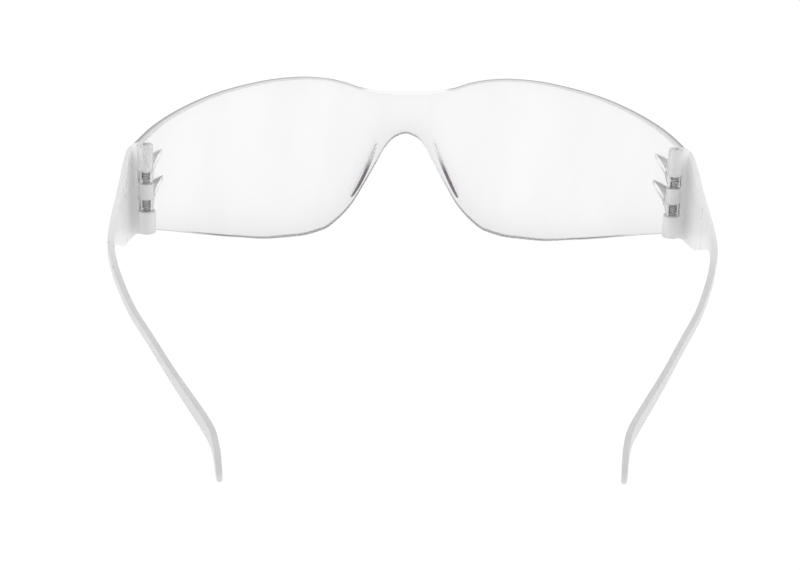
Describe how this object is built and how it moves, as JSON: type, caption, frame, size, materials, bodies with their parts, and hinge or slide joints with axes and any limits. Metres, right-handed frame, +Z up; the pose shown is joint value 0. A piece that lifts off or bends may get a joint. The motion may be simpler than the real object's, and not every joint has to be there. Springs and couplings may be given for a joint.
{
  "type": "safety glasses",
  "caption": "Frameless wraparound safety glasses: a clear one-piece lens with moulded nose pads, and frosted temples with side shields that fold on hinge screws.",
  "frame": {"origin": "on the table, under the middle of the open glasses' bounding box", "axes": "+X to the wearer's right, +Y forward out through the lens, +Z up"},
  "size_m": [0.1474, 0.1481, 0.0446],
  "materials": {
    "clear_polycarbonate": "clear, polished, hard coated",
    "frosted_polycarbonate": "translucent, frosted by a fine mould texture",
    "screw_steel": "bright plated thread-forming screw"
  },
  "bodies": {
    "front": {"lens": "clear_polycarbonate", "right_hinge_screw": "screw_steel", "left_hinge_screw": "screw_steel"},
    "right_arm": {"right_temple": "frosted_polycarbonate"},
    "left_arm": {"left_temple": "frosted_polycarbonate"}
  },
  "joints": [
    {"name": "right_temple_fold", "type": "hinge", "parent": "front", "child": "right_arm", "pos_m": [0.0658, 0.029, 0.028], "axis": [0, 0, -1], "range_deg": [0, 90]},
    {"name": "left_temple_fold", "type": "hinge", "parent": "front", "child": "left_arm", "pos_m": [-0.0658, 0.029, 0.028], "axis": [0, 0, 1], "range_deg": [0, 74]}
  ]
}
